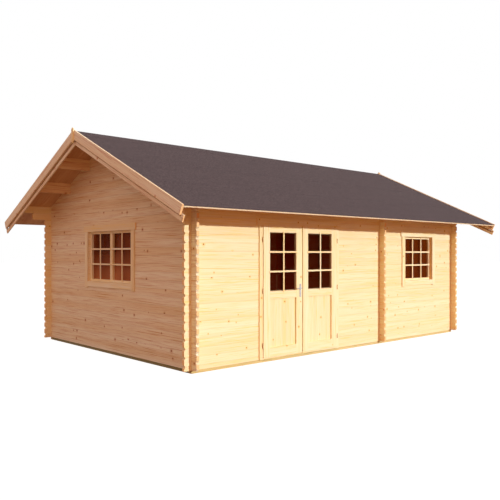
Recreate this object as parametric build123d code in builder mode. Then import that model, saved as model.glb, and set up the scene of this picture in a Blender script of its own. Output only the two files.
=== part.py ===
"""Log cabin of machined interlocking logs, with two rooms, a double door and a felted gable roof.

Millimetres, +Z up. The ridge runs along X and the door side faces -Y.
The origin is at the centre of the outline, on the ground.
Long walls (front, back) run along X. Cross walls (two gables and the partition) run along Y.
Their courses are offset by half a log, and they lap through each other at every crossing.
"""

import os
from math import ceil, cos, floor, radians, sin, tan

from build123d import *

os.makedirs("parts", exist_ok=True)

# ---------------------------------------------------------------- driving dimensions
wall_length = 6800.0  # outer face to outer face of the gables
wall_width = 4530.0  # outer face to outer face of the long walls
log_thickness = 44.0
course_height = 121.0
courses_over_openings = 3  # in a long wall, over the joint that tops its highest opening
log_end = 120.0  # how far a log runs past the wall that it crosses
end_bevel_depth = 22.0
end_bevel_height = 28.0
face_bevel = 3.0
plate_bevel = 12.0  # taken off the outer edge of the top log by the roof's slope

partition_at = 4270.0  # from the left gable's outer face to the partition's left face
partition_door_width = 840.0
partition_door_height = 2030.0  # at least; the opening ends at the next joint

ground_beam_height = 45.0
ground_beam_width = 70.0
ground_beam_setback = 8.0
joist_width = 70.0
joist_spacing = 600.0
floor_thickness = 19.0
floor_gap = 5.0

roof_pitch = 24.8
left_overhang = 630.0
right_overhang = 572.0
eave_overhang = 645.0
roof_board_thickness = 19.0
felt_thickness = 4.0
purlin_width = 60.0
purlin_depth = 154.0
inner_purlin_offset = 687.0
outer_purlin_offset = 1435.0
bargeboard_thickness = 30.0
bargeboard_height = 138.0
bargeboard_rise = 38.0  # of its top edge over the underside of the roof boards
inner_board_thickness = 20.0
inner_board_drop = 176.0  # of its bottom edge under the roof boards
inner_board_step = 86.0  # under the roof boards; below this the board reaches past the eave
inner_board_reach = 50.0
inner_board_setback = 60.0  # of its upper part, from the eave
step_log_reach = 360.0  # of the log under the wall plate, past the gable
finial_width = 64.0
finial_thickness = 18.0
finial_top = 32.0  # over the bargeboards' peak
finial_length = 250.0
finial_point = 30.0

door_centre = 2180.0  # from the left gable's outer face
leaf_width = 847.0
leaf_gap = 7.0
leaf_top = 2084.0  # over the ground
lip_thickness = 8.0
core_thickness = 32.0
lip_overlap = 12.0
door_clearance = 5.0
stile_width = 134.0
top_rail = 112.0
middle_rail = 116.0
bottom_rail = 145.0
panel_height = 740.0
panel_thickness = 16.0
panel_setback = 22.0
glass_thickness = 4.0
glass_setback = 22.0
cover_strip_width = 40.0
cover_strip_thickness = 12.0
jamb_thickness = 35.0
jamb_inner_reach = 20.0  # past the wall's inner face
casing_thickness = 20.0
door_casing_width = 82.0
door_header_top = 2181.0
header_ear = 48.0
sill_thickness = 14.0

hinge_heights = (257.0, 1080.0, 1857.0)
hinge_radius = 8.0
hinge_half_length = 36.0
hinge_pin_radius = 4.0
hinge_pin_clearance = 0.08
hinge_offset_x = 10.0  # of the axis, out from the leaf's edge
hinge_offset_y = 3.0  # of the axis, in front of the leaf's face
hinge_gap = 1.0

handle_backset = 45.0
handle_height = 1098.0
plate_height = 210.0
plate_width = 36.0
plate_thickness = 4.0
plate_below_axis = 142.0
spindle_radius = 7.0
spindle_clearance = 0.1
lever_length = 110.0
lever_height = 18.0
lever_thickness = 12.0
lever_standoff = 42.0

window_height = 845.0
front_window_centre = 5550.0  # from the left gable's outer face
front_window_width = 950.0
front_window_bottom = 1124.0
gable_window_width = 1426.0
gable_window_bottom = 1172.0
window_jamb = 30.0
window_frame_depth = 108.0
window_stop = 10.0  # how far the frame's stop laps behind a sash
sash_setback = 44.0
sash_thickness = 50.0
sash_member = 38.0
sash_gap = 3.0
window_glass_thickness = 4.0
window_glass_setback = 38.0  # from the sash's outer face
window_casing_width = 95.0
window_header_height = 105.0
window_header_ear = 40.0
window_apron_height = 90.0
window_casing_tail = 22.0

# ---------------------------------------------------------------- places worked out from them
left_x = -(wall_length + right_overhang - left_overhang) / 2
right_x = left_x + wall_length
front_y = -wall_width / 2
back_y = wall_width / 2
partition_x = left_x + partition_at
cross_wall_faces = (left_x, partition_x, right_x - log_thickness)
long_wall_faces = (front_y, back_y - log_thickness)
first_course = ground_beam_height
floor_top = ground_beam_height + floor_thickness
slope = tan(radians(roof_pitch))
slope_sin = sin(radians(roof_pitch))
slope_cos = cos(radians(roof_pitch))


def long_joint_over(height):
    """The lowest joint over a height in a long wall, which starts with half a log."""
    return first_course + (floor((height - first_course) / course_height - 0.5) + 1.5) * course_height


def cross_joint_over(height):
    """The lowest joint over a height in a cross wall, which starts with a full log."""
    return first_course + (floor((height - first_course) / course_height) + 1) * course_height


door_rough_top = long_joint_over(leaf_top)
front_window_top = front_window_bottom + window_height
front_window_rough_top = long_joint_over(front_window_top)
front_window_rough_bottom = long_joint_over(front_window_bottom) - course_height
gable_window_rough_top = cross_joint_over(gable_window_bottom + window_height)
gable_window_rough_bottom = cross_joint_over(gable_window_bottom) - course_height
partition_door_top = cross_joint_over(floor_top + partition_door_height)

plate_joint = max(door_rough_top, front_window_rough_top) + (courses_over_openings - 1) * course_height
step_joint = plate_joint - course_height
plate_edge_top = plate_joint + course_height - plate_bevel
peak_height = plate_edge_top + slope * wall_width / 2
far_above = 2 * peak_height
cross_joints = [first_course + n * course_height for n in range(ceil(far_above / course_height))]
long_joints = [joint + course_height / 2 for joint in cross_joints]


def roof_under(y):
    """Height of the underside of the roof boards over a place y."""
    return plate_edge_top + slope * (wall_width / 2 - abs(y))


# ---------------------------------------------------------------- shared helpers
def save(builder, name):
    """Labels a finished piece and writes it as its own STEP file."""
    builder.part.label = name
    export_step(builder.part, f"parts/{name}.step")


def stepped_edge(place, bevel_in, bevel_height, low, high, joints):
    """Points up an edge at `place`, with a V cut `bevel_in` deep at each joint.

    `bevel_in` is signed: it is added to `place` at the bottom of each V.
    """
    if not bevel_in:
        return [(place, low), (place, high)]
    points = []
    if low in joints:
        points += [(place + bevel_in, low), (place, low + bevel_height)]
    else:
        points.append((place, low))
    for joint in joints:
        if low < joint < high:
            points += [(place, joint - bevel_height), (place + bevel_in, joint), (place, joint + bevel_height)]
    if high in joints:
        points += [(place, high - bevel_height), (place + bevel_in, high)]
    else:
        points.append((place, high))
    return points


def closed_face(points, mode=Mode.ADD):
    """A face inside its outline, for use in a sketch."""
    Polygon(*points, align=None, mode=mode)


def cut_laps(crossed_faces, low_u, high_u, low, high, joints):
    """Cuts, in a sketch, the notches where a wall crosses others, between low_u and high_u.

    Each log keeps the middle half of its height there, so a notch is centred on each of its joints.
    """
    laps = [(face + log_thickness / 2, joint) for face in crossed_faces if low_u <= face < high_u
            for joint in joints if low - course_height / 4 < joint < high + course_height / 4]
    if laps:
        with Locations(*laps):
            Rectangle(log_thickness, course_height / 2, mode=Mode.SUBTRACT)


def roof_outline():
    """The space under the roof, as seen along X."""
    reach = wall_width
    return [(-reach, -far_above), (reach, -far_above), (reach, roof_under(reach)), (0, roof_under(0)),
            (-reach, roof_under(reach))]


def purlin_section(centre):
    """Cross-section of a purlin: upright sides, and a top cut to the roof."""
    low = abs(centre) + purlin_width / 2
    bottom = roof_under(low) - purlin_depth
    left, right = centre - purlin_width / 2, centre + purlin_width / 2
    top = [(right, roof_under(right))] + ([(0, roof_under(0))] if centre == 0 else []) + [(left, roof_under(left))]
    return [(left, bottom), (right, bottom)] + top


purlin_centres = (0, -inner_purlin_offset, inner_purlin_offset, -outer_purlin_offset, outer_purlin_offset)


def long_wall(face_y, low_x, high_x, low, high, left_log_end=False, right_log_end=False):
    """A stretch of a wall that runs along X, from its low face at face_y, between two heights."""
    with BuildPart() as wall:
        with BuildSketch(Plane.YZ.offset(low_x)):
            outer = stepped_edge(face_y, face_bevel, face_bevel, low, high, long_joints)
            inner = stepped_edge(face_y + log_thickness, -face_bevel, face_bevel, low, high, long_joints)
            closed_face(inner + outer[::-1])
            closed_face(roof_outline(), Mode.INTERSECT)
        extrude(amount=high_x - low_x)
        with BuildSketch(Plane.XZ.offset(-(face_y + log_thickness + 1))):
            bevel_left = end_bevel_depth if left_log_end else 0
            bevel_right = -end_bevel_depth if right_log_end else 0
            left = stepped_edge(low_x, bevel_left, end_bevel_height, low, high, long_joints)
            right = stepped_edge(high_x, bevel_right, end_bevel_height, low, high, long_joints)
            closed_face(right + left[::-1])
            cut_laps(cross_wall_faces, low_x, high_x, low, high, long_joints)
        extrude(amount=log_thickness + 2, mode=Mode.INTERSECT)
    return wall


def cross_wall(face_x, low_y, high_y, low, high, front_log_end=False, back_log_end=False, purlins=False):
    """A stretch of a wall that runs along Y, from its low face at face_x, between two heights."""
    with BuildPart() as wall:
        with BuildSketch(Plane.XZ.offset(-high_y)):
            left = stepped_edge(face_x, face_bevel, face_bevel, low, high, cross_joints)
            right = stepped_edge(face_x + log_thickness, -face_bevel, face_bevel, low, high, cross_joints)
            closed_face(right + left[::-1])
        extrude(amount=high_y - low_y)
        with BuildSketch(Plane.YZ.offset(face_x - 1)):
            bevel_front = end_bevel_depth if front_log_end else 0
            bevel_back = -end_bevel_depth if back_log_end else 0
            front = stepped_edge(low_y, bevel_front, end_bevel_height, low, high, cross_joints)
            back = stepped_edge(high_y, bevel_back, end_bevel_height, low, high, cross_joints)
            closed_face(back + front[::-1])
            closed_face(roof_outline(), Mode.INTERSECT)
            cut_laps(long_wall_faces, low_y, high_y, low, high, cross_joints)
            if purlins:
                for centre in purlin_centres:
                    closed_face(purlin_section(centre), Mode.SUBTRACT)
        extrude(amount=log_thickness + 2, mode=Mode.INTERSECT)
    return wall


def block(low_x, high_x, low_y, high_y, low_z, high_z, mode=Mode.ADD):
    """A box between two corners, for use in a part."""
    with Locations(((low_x + high_x) / 2, (low_y + high_y) / 2, (low_z + high_z) / 2)):
        Box(high_x - low_x, high_y - low_y, high_z - low_z, mode=mode)


# ---------------------------------------------------------------- ground beams and floor
beam_low_y = front_y + ground_beam_setback
beam_high_y = back_y - ground_beam_setback
beam_low_x = left_x + ground_beam_setback
beam_high_x = right_x - ground_beam_setback

with BuildPart() as ground_beams_long:
    block(beam_low_x, beam_high_x, beam_low_y, beam_low_y + ground_beam_width, 0, ground_beam_height)
    block(beam_low_x, beam_high_x, beam_high_y - ground_beam_width, beam_high_y, 0, ground_beam_height)
save(ground_beams_long, "ground_beams_long")

inner_low_y = beam_low_y + ground_beam_width
inner_high_y = beam_high_y - ground_beam_width
partition_middle = partition_x + log_thickness / 2
cross_beam_middles = (beam_low_x + ground_beam_width / 2, partition_middle, beam_high_x - ground_beam_width / 2)
with BuildPart() as ground_beams_cross:
    for middle in cross_beam_middles:
        block(middle - ground_beam_width / 2, middle + ground_beam_width / 2, inner_low_y, inner_high_y,
              0, ground_beam_height)
save(ground_beams_cross, "ground_beams_cross")

with BuildPart() as floor_joists:
    for start, stop in zip(cross_beam_middles, cross_beam_middles[1:]):
        bays = max(2, round((stop - start) / joist_spacing))
        for bay in range(1, bays):
            middle = start + (stop - start) * bay / bays
            block(middle - joist_width / 2, middle + joist_width / 2, inner_low_y, inner_high_y,
                  0, ground_beam_height)
save(floor_joists, "floor_joists")

with BuildPart() as floor_boards:
    for start, stop in ((left_x + log_thickness, partition_x), (partition_x + log_thickness, right_x - log_thickness)):
        block(start + floor_gap, stop - floor_gap, front_y + log_thickness + floor_gap,
              back_y - log_thickness - floor_gap, ground_beam_height, floor_top)
save(floor_boards, "floor_boards")

# ---------------------------------------------------------------- openings in the walls
door_x = left_x + door_centre
leaf_pair = 2 * leaf_width + leaf_gap
door_half = leaf_pair / 2 - lip_overlap  # to the inner face of a jamb
door_rough_half = door_half + jamb_thickness

front_window_x = left_x + front_window_centre
front_window_rough_half = front_window_width / 2 + window_jamb
gable_window_rough_half = gable_window_width / 2 + window_jamb

# ---------------------------------------------------------------- long walls
log_low_x, log_high_x = left_x - log_end, right_x + log_end
log_low_y, log_high_y = front_y - log_end, back_y + log_end
door_low_x, door_high_x = door_x - door_rough_half, door_x + door_rough_half
window_low_x, window_high_x = front_window_x - front_window_rough_half, front_window_x + front_window_rough_half

save(long_wall(front_y, log_low_x, door_low_x, first_course, step_joint, left_log_end=True), "front_wall_left")
save(long_wall(front_y, door_low_x, door_high_x, door_rough_top, step_joint), "front_wall_over_door")
save(long_wall(front_y, door_high_x, window_low_x, first_course, step_joint), "front_wall_middle")
save(long_wall(front_y, window_low_x, window_high_x, first_course, front_window_rough_bottom),
     "front_wall_under_window")
save(long_wall(front_y, window_low_x, window_high_x, front_window_rough_top, step_joint), "front_wall_over_window")
save(long_wall(front_y, window_high_x, log_high_x, first_course, step_joint, right_log_end=True),
     "front_wall_right")
save(long_wall(back_y - log_thickness, log_low_x, log_high_x, first_course, step_joint, True, True), "back_wall")

step_low_x, step_high_x = left_x - step_log_reach, right_x + step_log_reach
save(long_wall(front_y, step_low_x, step_high_x, step_joint, plate_joint, True, True), "front_step_log")
save(long_wall(back_y - log_thickness, step_low_x, step_high_x, step_joint, plate_joint, True, True),
     "back_step_log")

bearer_low_x = left_x - left_overhang + bargeboard_thickness + inner_board_thickness
bearer_high_x = right_x + right_overhang - bargeboard_thickness - inner_board_thickness
save(long_wall(front_y, bearer_low_x, bearer_high_x, plate_joint, far_above), "front_wall_plate")
save(long_wall(back_y - log_thickness, bearer_low_x, bearer_high_x, plate_joint, far_above), "back_wall_plate")

# ---------------------------------------------------------------- gables and partition
with BuildPart() as left_gable_sides:
    add(cross_wall(left_x, log_low_y, -gable_window_rough_half, first_course, gable_window_rough_top, front_log_end=True).part)
    add(cross_wall(left_x, gable_window_rough_half, log_high_y, first_course, gable_window_rough_top, back_log_end=True).part)
save(left_gable_sides, "left_gable_sides")
save(cross_wall(left_x, -gable_window_rough_half, gable_window_rough_half, first_course,
                gable_window_rough_bottom), "left_gable_under_window")
save(cross_wall(left_x, log_low_y, log_high_y, gable_window_rough_top, far_above, True, True, purlins=True), "left_gable_top")
save(cross_wall(cross_wall_faces[-1], log_low_y, log_high_y, first_course, far_above, True, True, purlins=True),
     "right_gable")

with BuildPart() as partition_sides:
    add(cross_wall(partition_x, log_low_y, -partition_door_width / 2, first_course, partition_door_top,
                   front_log_end=True).part)
    add(cross_wall(partition_x, partition_door_width / 2, log_high_y, first_course, partition_door_top,
                   back_log_end=True).part)
save(partition_sides, "partition_sides")
save(cross_wall(partition_x, log_low_y, log_high_y, partition_door_top, far_above, True, True, purlins=True),
     "partition_top")

# ---------------------------------------------------------------- roof
eave_y = wall_width / 2 + eave_overhang


def over_roof(y, rise):
    """A point (y, z) plumb over a place y, at `rise` square to the slope over the boards' underside."""
    return (y, roof_under(y) + rise / slope_cos)


def at_eave(side, rise, back=0.0):
    """A point (y, z) on the square cut at the eave, `back` up the slope from the outer end."""
    y = eave_y - back * slope_cos
    return (side * (y + rise * slope_sin), roof_under(y) + rise * slope_cos)


def slope_outline(side, low_rise, high_rise):
    """Outline, seen along X, of a layer on one slope, between two rises."""
    return [at_eave(side, low_rise), at_eave(side, high_rise), over_roof(0, high_rise), over_roof(0, low_rise)]


def along_roof(outline, low_x, high_x):
    """A length of a section that runs along X, for use in a part."""
    with BuildSketch(Plane.YZ.offset(low_x)) as section:
        closed_face(outline)
    extrude(section.sketch, amount=high_x - low_x)


cover_low_x = left_x - left_overhang + bargeboard_thickness
cover_high_x = right_x + right_overhang - bargeboard_thickness
board_top = roof_board_thickness
felt_top = roof_board_thickness + felt_thickness

with BuildPart() as purlins:
    for centre in purlin_centres:
        along_roof(purlin_section(centre), bearer_low_x, bearer_high_x)
save(purlins, "purlins")

for side, side_name in ((-1, "front"), (1, "back")):
    with BuildPart() as roof_boards:
        along_roof(slope_outline(side, 0, board_top), cover_low_x, cover_high_x)
    save(roof_boards, f"roof_boards_{side_name}")

with BuildPart() as roof_felt:
    front_edge = [at_eave(-1, board_top), at_eave(-1, felt_top)]
    back_edge = [at_eave(1, felt_top), at_eave(1, board_top)]
    along_roof(front_edge + [over_roof(0, felt_top)] + back_edge + [over_roof(0, board_top)],
               cover_low_x, cover_high_x)
save(roof_felt, "roof_felt")

verges = ((left_x - left_overhang, 1), (right_x + right_overhang, -1))  # outer face, and the way inwards
for side, side_name in ((-1, "front"), (1, "back")):
    with BuildPart() as bargeboards:
        for outer_x, inwards in verges:
            low_x = min(outer_x, outer_x + inwards * bargeboard_thickness)
            along_roof(slope_outline(side, bargeboard_rise - bargeboard_height, bargeboard_rise),
                       low_x, low_x + bargeboard_thickness)
    save(bargeboards, f"bargeboards_{side_name}")
    outline = [at_eave(side, -inner_board_drop, -inner_board_reach), at_eave(side, -inner_board_step,
               -inner_board_reach), at_eave(side, -inner_board_step, inner_board_setback),
               at_eave(side, 0, inner_board_setback), over_roof(0, 0), over_roof(0, -inner_board_drop)]
    with BuildPart() as inner_bargeboards:
        for outer_x, inwards in verges:
            face_x = outer_x + inwards * bargeboard_thickness
            low_x = min(face_x, face_x + inwards * inner_board_thickness)
            along_roof(outline, low_x, low_x + inner_board_thickness)
    save(inner_bargeboards, f"inner_bargeboards_{side_name}")

peak = over_roof(0, bargeboard_rise)[1]
with BuildPart() as finials:
    for outer_x, inwards in verges:
        low_x = outer_x - (finial_thickness if inwards > 0 else 0)
        top, bottom = peak + finial_top, peak + finial_top - finial_length
        half = finial_width / 2
        along_roof([(0, bottom), (half, bottom + finial_point), (half, top - finial_point), (0, top),
                    (-half, top - finial_point), (-half, bottom + finial_point)], low_x, low_x + finial_thickness)
save(finials, "finials")

# ---------------------------------------------------------------- door frame
casing_face_y = front_y - casing_thickness
lip_back_y = casing_face_y - door_clearance
leaf_face_y = lip_back_y - lip_thickness
core_back_y = lip_back_y + core_thickness
jamb_back_y = front_y + log_thickness + jamb_inner_reach
door_head_bottom = leaf_top - lip_overlap
sill_top = floor_top
sill_bottom = sill_top - sill_thickness

with BuildPart() as door_jambs:
    for side in (-1, 1):
        edges = sorted((door_x + side * door_half, door_x + side * door_rough_half))
        block(*edges, front_y, jamb_back_y, sill_top, door_head_bottom)
save(door_jambs, "door_jambs")

with BuildPart() as door_head:
    block(door_x - door_rough_half, door_x + door_rough_half, front_y, jamb_back_y, door_head_bottom, door_rough_top)
save(door_head, "door_head")

with BuildPart() as door_sill:
    block(door_x - door_rough_half, door_x + door_rough_half, front_y, front_y + log_thickness + floor_gap,
          sill_bottom, sill_top)
    block(door_x - door_half, door_x + door_half, casing_face_y, front_y, sill_bottom, sill_top)
save(door_sill, "door_sill")

with BuildPart() as door_casings:
    for side in (-1, 1):
        edges = sorted((door_x + side * door_half, door_x + side * (door_half + door_casing_width)))
        block(*edges, casing_face_y, front_y, first_course, door_head_bottom)
save(door_casings, "door_casings")

header_half = door_half + door_casing_width + header_ear
with BuildPart() as door_header:
    block(door_x - header_half, door_x + header_half, casing_face_y, front_y, door_head_bottom, door_header_top)
save(door_header, "door_header")

# ---------------------------------------------------------------- door leaves
core_inset = lip_overlap + door_clearance
leaf_bottom = sill_top + door_clearance
panel_bottom = leaf_bottom + bottom_rail
panel_top = panel_bottom + panel_height
glass_bottom = panel_top + middle_rail
glass_top = leaf_top - top_rail
hinge_y = leaf_face_y - hinge_offset_y
handle_x = door_x - leaf_gap / 2 - handle_backset


def leaf_spans(side):
    """The low and high x of a leaf, of its core and of its light, for the leaf on one side."""
    hung, free = door_x + side * leaf_pair / 2, door_x + side * leaf_gap / 2
    leaf = sorted((hung, free))
    core = sorted((hung - side * core_inset, free))
    light = (leaf[0] + stile_width, leaf[1] - stile_width)
    return leaf, core, light


for side, side_name in ((-1, "left"), (1, "right")):
    leaf, core, light = leaf_spans(side)
    with BuildPart() as leaf_frame:
        block(*leaf, leaf_face_y, lip_back_y, leaf_bottom, leaf_top)
        block(*core, lip_back_y, core_back_y, leaf_bottom, leaf_top - core_inset)
        block(*light, leaf_face_y, core_back_y, glass_bottom, glass_top, Mode.SUBTRACT)
        block(*light, leaf_face_y, core_back_y, panel_bottom, panel_top, Mode.SUBTRACT)
        if side > 0:
            block(leaf[0], leaf[0] + cover_strip_width, leaf_face_y - cover_strip_thickness, leaf_face_y,
                  leaf_bottom, leaf_top)
        if side < 0:
            with Locations(Location((handle_x, (leaf_face_y + core_back_y) / 2, handle_height), (90, 0, 0))):
                Cylinder(spindle_radius + spindle_clearance, 2 * (core_back_y - leaf_face_y), mode=Mode.SUBTRACT)
    save(leaf_frame, f"{side_name}_door_frame")
    with BuildPart() as leaf_panel:
        block(*light, leaf_face_y + panel_setback, leaf_face_y + panel_setback + panel_thickness,
              panel_bottom, panel_top)
    save(leaf_panel, f"{side_name}_door_panel")
    with BuildPart() as leaf_glass:
        block(*light, leaf_face_y + glass_setback, leaf_face_y + glass_setback + glass_thickness,
              glass_bottom, glass_top)
    save(leaf_glass, f"{side_name}_door_glass")
    hinge_x = door_x + side * (leaf_pair / 2 + hinge_offset_x)
    with BuildPart() as leaf_hinges:
        for height in hinge_heights:
            with Locations((hinge_x, hinge_y, height + hinge_gap / 2)):
                Cylinder(hinge_radius, hinge_half_length, align=(Align.CENTER, Align.CENTER, Align.MIN))
            arm = sorted((hinge_x, leaf[0] if side < 0 else leaf[1]))
            block(*arm, leaf_face_y, leaf_face_y + 2 * hinge_pin_radius, height + hinge_gap / 2,
                  height + hinge_gap / 2 + hinge_half_length)
            with Locations((hinge_x, hinge_y, height + hinge_gap / 2)):
                Cylinder(hinge_pin_radius + hinge_pin_clearance, hinge_half_length,
                         align=(Align.CENTER, Align.CENTER, Align.MIN), mode=Mode.SUBTRACT)
    save(leaf_hinges, f"{side_name}_door_hinges")

with BuildPart() as frame_hinges:
    for side in (-1, 1):
        hinge_x = door_x + side * (leaf_pair / 2 + hinge_offset_x)
        for height in hinge_heights:
            foot = height - hinge_gap / 2 - hinge_half_length
            with Locations((hinge_x, hinge_y, foot)):
                Cylinder(hinge_radius, hinge_half_length, align=(Align.CENTER, Align.CENTER, Align.MIN))
                Cylinder(hinge_pin_radius, 2 * hinge_half_length + hinge_gap,
                         align=(Align.CENTER, Align.CENTER, Align.MIN))
            block(hinge_x - hinge_pin_radius, hinge_x + hinge_pin_radius, hinge_y, casing_face_y,
                  foot, foot + hinge_half_length)
save(frame_hinges, "frame_hinges")

# ---------------------------------------------------------------- door handle
plate_low_z = handle_height - plate_below_axis
with BuildPart() as handle_plates:
    for face_y, outwards in ((leaf_face_y, -1), (core_back_y, 1)):
        edges = sorted((face_y, face_y + outwards * plate_thickness))
        block(handle_x - plate_width / 2, handle_x + plate_width / 2, *edges, plate_low_z,
              plate_low_z + plate_height)
    with Locations(Location((handle_x, (leaf_face_y + core_back_y) / 2, handle_height), (90, 0, 0))):
        Cylinder(spindle_radius + spindle_clearance, 2 * (core_back_y - leaf_face_y), mode=Mode.SUBTRACT)
save(handle_plates, "left_door_handle_plates")

with BuildPart() as handle_lever:
    spindle_low_y = leaf_face_y - plate_thickness - lever_standoff
    spindle_high_y = core_back_y + plate_thickness + lever_standoff
    with Locations(Location((handle_x, (spindle_low_y + spindle_high_y) / 2, handle_height), (90, 0, 0))):
        Cylinder(spindle_radius, spindle_high_y - spindle_low_y)
    for lever_y in (spindle_low_y, spindle_high_y - lever_thickness):
        block(handle_x - lever_length, handle_x + spindle_radius, lever_y, lever_y + lever_thickness,
              handle_height - lever_height / 2, handle_height + lever_height / 2)
save(handle_lever, "left_door_lever")

# ---------------------------------------------------------------- windows


def in_front_wall(low_u, high_u, low_depth, high_depth, low_z, high_z, mode=Mode.ADD):
    """A block in the front window: u along the wall from its centre, depth inwards from its outer face."""
    block(front_window_x + low_u, front_window_x + high_u, front_y + low_depth, front_y + high_depth,
          low_z, high_z, mode)


def in_left_gable(low_u, high_u, low_depth, high_depth, low_z, high_z, mode=Mode.ADD):
    """A block in the gable window: u along the wall from its centre, depth inwards from its outer face."""
    block(left_x + low_depth, left_x + high_depth, low_u, high_u, low_z, high_z, mode)


windows = (
    (in_front_wall, front_window_width, front_window_bottom, front_window_rough_bottom, front_window_rough_top, 1),
    (in_left_gable, gable_window_width, gable_window_bottom, gable_window_rough_bottom, gable_window_rough_top, 2),
)


def sash_spans(width, count):
    """(low, high) across a window for each of its sashes."""
    pitch = width / count
    return [(-width / 2 + n * pitch + sash_gap / 2, -width / 2 + (n + 1) * pitch - sash_gap / 2)
            for n in range(count)]


with BuildPart() as window_frames:
    for place, width, bottom, rough_bottom, rough_top, _ in windows:
        top, half, stop_depth = bottom + window_height, width / 2, sash_setback + sash_thickness
        place(-half - window_jamb, half + window_jamb, 0, window_frame_depth, rough_bottom, rough_top)
        place(-half, half, 0, stop_depth, bottom, top, Mode.SUBTRACT)
        place(window_stop - half, half - window_stop, stop_depth, window_frame_depth, bottom + window_stop,
              top - window_stop, Mode.SUBTRACT)
save(window_frames, "window_frames")

with BuildPart() as window_sashes:
    for place, width, bottom, _, _, sash_count in windows:
        depths = (sash_setback, sash_setback + sash_thickness)
        for low_u, high_u in sash_spans(width, sash_count):
            low_z, high_z = bottom + sash_gap / 2, bottom + window_height - sash_gap / 2
            place(low_u, high_u, *depths, low_z, high_z)
            place(low_u + sash_member, high_u - sash_member, *depths, low_z + sash_member, high_z - sash_member,
                  Mode.SUBTRACT)
save(window_sashes, "window_sashes")

with BuildPart() as window_glass:
    for place, width, bottom, _, _, sash_count in windows:
        glass_face = sash_setback + window_glass_setback
        for low_u, high_u in sash_spans(width, sash_count):
            place(low_u + sash_member, high_u - sash_member, glass_face, glass_face + window_glass_thickness,
                  bottom + sash_gap / 2 + sash_member, bottom + window_height - sash_gap / 2 - sash_member)
save(window_glass, "window_glass")

with BuildPart() as window_casings:
    for place, width, bottom, _, _, _ in windows:
        top = bottom + window_height
        half, outer = width / 2, width / 2 + window_casing_width
        place(-outer - window_header_ear, outer + window_header_ear, -casing_thickness, 0, top,
              top + window_header_height)
        place(-half, half, -casing_thickness, 0, bottom - window_apron_height, bottom)
        for low_u, high_u in ((-outer, -half), (half, outer)):
            place(low_u, high_u, -casing_thickness, 0, bottom - window_apron_height - window_casing_tail, top)
save(window_casings, "window_casings")
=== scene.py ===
"""The log cabin's looks: finishes, joinery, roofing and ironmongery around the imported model.

Metres, +Z up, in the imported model's frame. The door side faces -Y and the ridge runs along X.
"""

import logging
import math
from dataclasses import dataclass, field
from enum import Enum
from functools import cache

import bmesh
import bpy
from bpy.types import ID, Material, Node, NodeSocket, Object, World
from mathutils import Matrix, Vector


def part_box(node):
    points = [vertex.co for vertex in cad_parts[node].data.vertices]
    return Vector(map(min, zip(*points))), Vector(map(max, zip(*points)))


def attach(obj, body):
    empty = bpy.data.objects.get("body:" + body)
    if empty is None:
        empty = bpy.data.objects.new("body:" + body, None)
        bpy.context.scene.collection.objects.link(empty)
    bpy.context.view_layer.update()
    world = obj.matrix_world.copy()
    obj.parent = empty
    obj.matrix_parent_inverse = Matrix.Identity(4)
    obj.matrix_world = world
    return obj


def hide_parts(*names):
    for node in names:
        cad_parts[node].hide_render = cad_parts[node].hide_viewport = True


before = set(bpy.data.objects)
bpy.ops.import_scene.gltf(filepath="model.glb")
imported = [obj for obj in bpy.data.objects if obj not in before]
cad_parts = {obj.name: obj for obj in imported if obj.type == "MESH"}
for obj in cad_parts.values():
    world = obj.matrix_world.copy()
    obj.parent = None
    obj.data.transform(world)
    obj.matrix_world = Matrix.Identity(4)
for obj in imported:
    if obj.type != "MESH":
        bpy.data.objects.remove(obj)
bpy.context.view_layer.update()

log = logging.getLogger("cabin")

Colour = tuple[float, float, float]
Point = tuple[float, float, float]
Value = NodeSocket | float | Colour
Span = tuple[float, float]

ROOF_PITCH = math.radians(24.8)
PIECE_SHIFT = "piece_shift"  # the face attribute that gives a board its own stretch of grain
SHIFT_STEP = 0.73  # metres of grain from one board of a piece to the next
SCATTER = (31.0, 9.0, 5.0)  # how far chance moves the grain along, across and through a board
ROOM_DEPTH = 1.6  # boards further apart than this have their own grain
MIX_UNDER, MIX_OVER, MIX_COLOUR = 6, 7, 2  # the Mix node's colour sockets
EASE = 0.002  # how far a board's edges are eased where nothing else is said


def rgb(*chart: int) -> Colour:
    """A linear colour from the red, green and blue of a colour chart, each from 0 to 255."""
    return tuple(share / 12.92 if share <= 0.04045 else ((share + 0.055) / 1.055) ** 2.4
                 for share in (value / 255 for value in chart))


class Body(Enum):
    """The bodies that pieces ride on."""

    CABIN = "cabin"
    LEFT_DOOR = "left_door"
    RIGHT_DOOR = "right_door"
    LEVER = "door_lever"


class Stock(Enum):
    """The names of the material slots for new pieces."""

    TIMBER = "timber"
    FELT = "roofing_felt"
    STEEL = "steel"


class Grain(Enum):
    """How a board lies: the directions along, across and through it.

    X, Y and Z are the frame's own. S runs down either slope of the roof, and T is square to it.
    """

    ALONG_WALL = "XZY"
    ALONG_GABLE = "YZX"
    UPRIGHT = "ZXY"
    UPRIGHT_GABLE = "ZYX"
    FLOOR = "YXZ"
    ROOF_BOARD = "SXT"
    ROOF_EDGE = "STX"


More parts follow.
